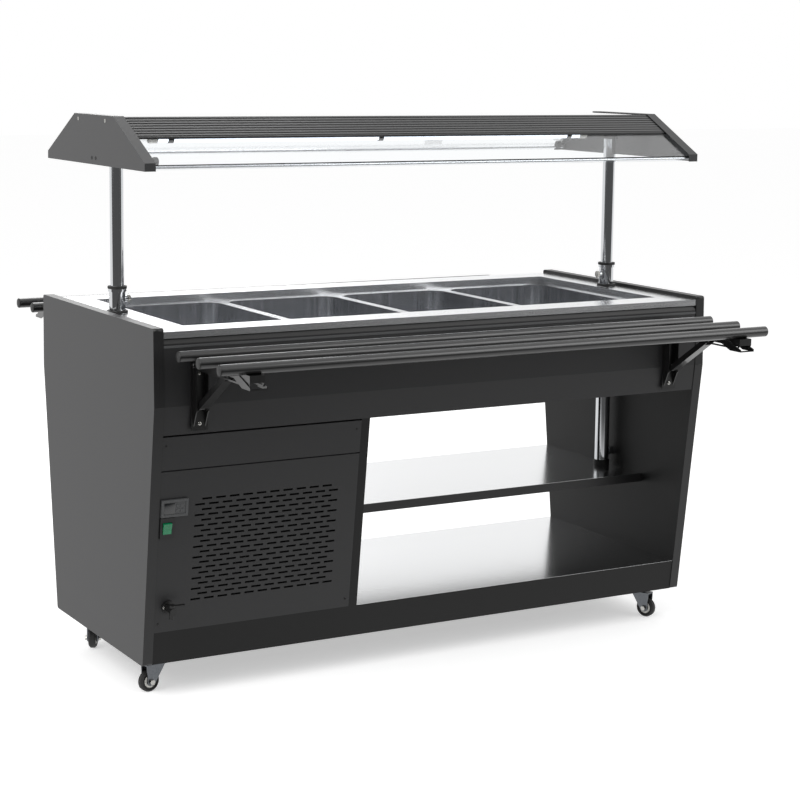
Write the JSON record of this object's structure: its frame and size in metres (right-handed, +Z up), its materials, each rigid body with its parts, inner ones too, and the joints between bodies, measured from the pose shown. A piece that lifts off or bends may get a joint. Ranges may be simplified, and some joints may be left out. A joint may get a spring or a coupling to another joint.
{
  "type": "mobile salad bar",
  "caption": "Mobile cold salad bar: cabinet on swivel castors with a pan well, open shelves, fold-down tray slides on both sides and a lamp-lit hood on telescoping posts.",
  "frame": {"origin": "on the floor under the middle of the cabinet", "axes": "+X along the cabinet, -Y is the side with the controls, +Z up"},
  "size_m": [1.5, 1.314, 1.312],
  "materials": {
    "end_laminate": "grey laminate board",
    "black_laminate": "polished dark laminate board",
    "stainless": "brushed stainless sheet",
    "insulation": "foamed liner",
    "chrome": "bright chrome plate",
    "valve_black": "black-plated brass",
    "screw_steel": "plated thumb screw",
    "hood_sheet": "satin dark coat",
    "cap_aluminium": "dark anodised profile",
    "acrylic": "clear acrylic sheet",
    "lamp_tube": "milky lamp tube",
    "black_steel": "black powder coat",
    "bezel_plastic": "moulded grey plastic",
    "switch_green": "green rocker",
    "castor_zinc": "bright zinc plate",
    "castor_tyre": "black rubber",
    "machine_black": "black enamel",
    "fin_aluminium": "mill finish fins",
    "fan_plastic": "moulded blades"
  },
  "bodies": {
    "root": {"end_panel_left": "end_laminate", "end_panel_right": "end_laminate", "front_fascia": "black_laminate", "rear_fascia": "black_laminate", "front_grille": "black_laminate", "rear_grille": "black_laminate", "partition": "black_laminate", "middle_shelf": "black_laminate", "base": "black_laminate", "deck": "stainless", "well": "insulation", "guide_tube_left": "chrome", "guide_tube_right": "chrome", "drain_valve": "valve_black", "front_leg_left": "black_steel", "front_leg_right": "black_steel", "rear_leg_left": "black_steel", "rear_leg_right": "black_steel", "thermostat": "bezel_plastic", "switch_frame": "bezel_plastic", "compressor": "machine_black", "condenser": "fin_aluminium"},
    "hood": {"hood_end_left": "hood_sheet", "hood_end_right": "hood_sheet", "hood_top": "cap_aluminium", "front_guard": "acrylic", "rear_guard": "acrylic", "front_rod": "chrome", "rear_rod": "chrome", "lamp": "lamp_tube", "post_left": "chrome", "post_right": "chrome"},
    "clamp_left": {"clamp_screw_left": "screw_steel"},
    "clamp_right": {"clamp_screw_right": "screw_steel"},
    "pan_1": {"pan_1": "stainless"},
    "pan_2": {"pan_2": "stainless"},
    "pan_3": {"pan_3": "stainless"},
    "pan_4": {"pan_4": "stainless"},
    "front_tray": {"front_tray": "black_steel"},
    "front_brace_left": {"front_brace_left": "black_steel"},
    "front_catch_left": {"front_catch_left": "black_steel"},
    "front_brace_right": {"front_brace_right": "black_steel"},
    "front_catch_right": {"front_catch_right": "black_steel"},
    "rear_tray": {"rear_tray": "black_steel"},
    "rear_brace_left": {"rear_brace_left": "black_steel"},
    "rear_catch_left": {"rear_catch_left": "black_steel"},
    "rear_brace_right": {"rear_brace_right": "black_steel"},
    "rear_catch_right": {"rear_catch_right": "black_steel"},
    "fork_front_left": {"castor_fork_front_left": "castor_zinc"},
    "wheel_front_left": {"castor_wheel_front_left": "castor_tyre"},
    "fork_front_right": {"castor_fork_front_right": "castor_zinc"},
    "wheel_front_right": {"castor_wheel_front_right": "castor_tyre"},
    "fork_rear_left": {"castor_fork_rear_left": "castor_zinc"},
    "wheel_rear_left": {"castor_wheel_rear_left": "castor_tyre"},
    "fork_rear_right": {"castor_fork_rear_right": "castor_zinc"},
    "wheel_rear_right": {"castor_wheel_rear_right": "castor_tyre"},
    "rocker": {"rocker": "switch_green"},
    "drain_lever": {"drain_lever": "valve_black"},
    "fan": {"fan": "fan_plastic"}
  },
  "joints": [
    {"name": "hood_height", "type": "slide", "parent": "root", "child": "hood", "axis": [0, 0, 1], "range_m": [-0.32, 0]},
    {"name": "clamp_left_turn", "type": "hinge", "parent": "root", "child": "clamp_left", "pos_m": [-0.668, 0, 0.885], "axis": [1, 0, 0], "range_deg": [0, 540]},
    {"name": "clamp_right_turn", "type": "hinge", "parent": "root", "child": "clamp_right", "pos_m": [0.668, 0, 0.885], "axis": [1, 0, 0], "range_deg": [0, 540]},
    {"name": "pan_1_lift", "type": "slide", "parent": "root", "child": "pan_1", "axis": [0, 0, 1], "range_m": [0, 0.3]},
    {"name": "pan_2_lift", "type": "slide", "parent": "root", "child": "pan_2", "axis": [0, 0, 1], "range_m": [0, 0.3]},
    {"name": "pan_3_lift", "type": "slide", "parent": "root", "child": "pan_3", "axis": [0, 0, 1], "range_m": [0, 0.3]},
    {"name": "pan_4_lift", "type": "slide", "parent": "root", "child": "pan_4", "axis": [0, 0, 1], "range_m": [0, 0.3]},
    {"name": "front_tray_fold", "type": "hinge", "parent": "root", "child": "front_tray", "pos_m": [0, -0.365, 0.776], "axis": [1, 0, 0], "range_deg": [0, 90]},
    {"name": "front_brace_left_fold", "type": "hinge", "parent": "root", "child": "front_brace_left", "pos_m": [-0.643, -0.365, 0.68], "axis": [1, 0, 0], "range_deg": [0, 122.63]},
    {"name": "front_catch_left_pull", "type": "hinge", "parent": "front_tray", "child": "front_catch_left", "pos_m": [-0.643, -0.58, 0.787], "axis": [1, 0, 0], "range_deg": [0, 20], "stiffness_Nm_per_rad": 0.4, "springref_deg": -28.65},
    {"name": "front_brace_right_fold", "type": "hinge", "parent": "root", "child": "front_brace_right", "pos_m": [0.643, -0.365, 0.68], "axis": [1, 0, 0], "range_deg": [0, 122.63]},
    {"name": "front_catch_right_pull", "type": "hinge", "parent": "front_tray", "child": "front_catch_right", "pos_m": [0.643, -0.58, 0.787], "axis": [1, 0, 0], "range_deg": [0, 20], "stiffness_Nm_per_rad": 0.4, "springref_deg": -28.65},
    {"name": "rear_tray_fold", "type": "hinge", "parent": "root", "child": "rear_tray", "pos_m": [0, 0.365, 0.776], "axis": [-1, 0, 0], "range_deg": [0, 90]},
    {"name": "rear_brace_left_fold", "type": "hinge", "parent": "root", "child": "rear_brace_left", "pos_m": [-0.643, 0.365, 0.68], "axis": [-1, 0, 0], "range_deg": [0, 122.63]},
    {"name": "rear_catch_left_pull", "type": "hinge", "parent": "rear_tray", "child": "rear_catch_left", "pos_m": [-0.643, 0.58, 0.787], "axis": [-1, 0, 0], "range_deg": [0, 20], "stiffness_Nm_per_rad": 0.4, "springref_deg": -28.65},
    {"name": "rear_brace_right_fold", "type": "hinge", "parent": "root", "child": "rear_brace_right", "pos_m": [0.643, 0.365, 0.68], "axis": [-1, 0, 0], "range_deg": [0, 122.63]},
    {"name": "rear_catch_right_pull", "type": "hinge", "parent": "rear_tray", "child": "rear_catch_right", "pos_m": [0.643, 0.58, 0.787], "axis": [-1, 0, 0], "range_deg": [0, 20], "stiffness_Nm_per_rad": 0.4, "springref_deg": -28.65},
    {"name": "swivel_front_left", "type": "hinge", "parent": "root", "child": "fork_front_left", "pos_m": [-0.682, -0.2, 0.07], "axis": [0, 0, 1], "continuous": true},
    {"name": "roll_front_left", "type": "hinge", "parent": "fork_front_left", "child": "wheel_front_left", "pos_m": [-0.70564, -0.20417, 0.025], "axis": [-0.1736, 0.9848, 0], "continuous": true},
    {"name": "swivel_front_right", "type": "hinge", "parent": "root", "child": "fork_front_right", "pos_m": [0.682, -0.2, 0.07], "axis": [0, 0, 1], "continuous": true},
    {"name": "roll_front_right", "type": "hinge", "parent": "fork_front_right", "child": "wheel_front_right", "pos_m": [0.69214, -0.22175, 0.025], "axis": [-0.9063, -0.4226, 0], "continuous": true},
    {"name": "swivel_rear_left", "type": "hinge", "parent": "root", "child": "fork_rear_left", "pos_m": [-0.682, 0.2, 0.07], "axis": [0, 0, 1], "continuous": true},
    {"name": "roll_rear_left", "type": "hinge", "parent": "fork_rear_left", "child": "wheel_rear_left", "pos_m": [-0.694, 0.17922, 0.025], "axis": [-0.866, 0.5, 0], "continuous": true},
    {"name": "swivel_rear_right", "type": "hinge", "parent": "root", "child": "fork_rear_right", "pos_m": [0.682, 0.2, 0.07], "axis": [0, 0, 1], "continuous": true},
    {"name": "roll_rear_right", "type": "hinge", "parent": "fork_rear_right", "child": "wheel_rear_right", "pos_m": [0.70278, 0.188, 0.025], "axis": [-0.5, -0.866, 0], "continuous": true},
    {"name": "rocker_tilt", "type": "hinge", "parent": "root", "child": "rocker", "pos_m": [-0.707, -0.31644, 0.40798], "axis": [1, 0, 0], "range_deg": [-16, 0]},
    {"name": "drain_turn", "type": "hinge", "parent": "root", "child": "drain_lever", "pos_m": [-0.695, -0.31914, 0.22415], "axis": [0, -0.1269, 0.9919], "range_deg": [-90, 0]},
    {"name": "fan_spin", "type": "hinge", "parent": "root", "child": "fan", "pos_m": [-0.34, -0.148, 0.255], "axis": [0, 1, 0], "continuous": true}
  ],
  "couplings": [
    {"joint": "front_brace_left_fold", "follows": "front_tray_fold", "ratio": 1.3624},
    {"joint": "front_brace_right_fold", "follows": "front_tray_fold", "ratio": 1.3624},
    {"joint": "rear_brace_left_fold", "follows": "rear_tray_fold", "ratio": 1.3624},
    {"joint": "rear_brace_right_fold", "follows": "rear_tray_fold", "ratio": 1.3624}
  ]
}
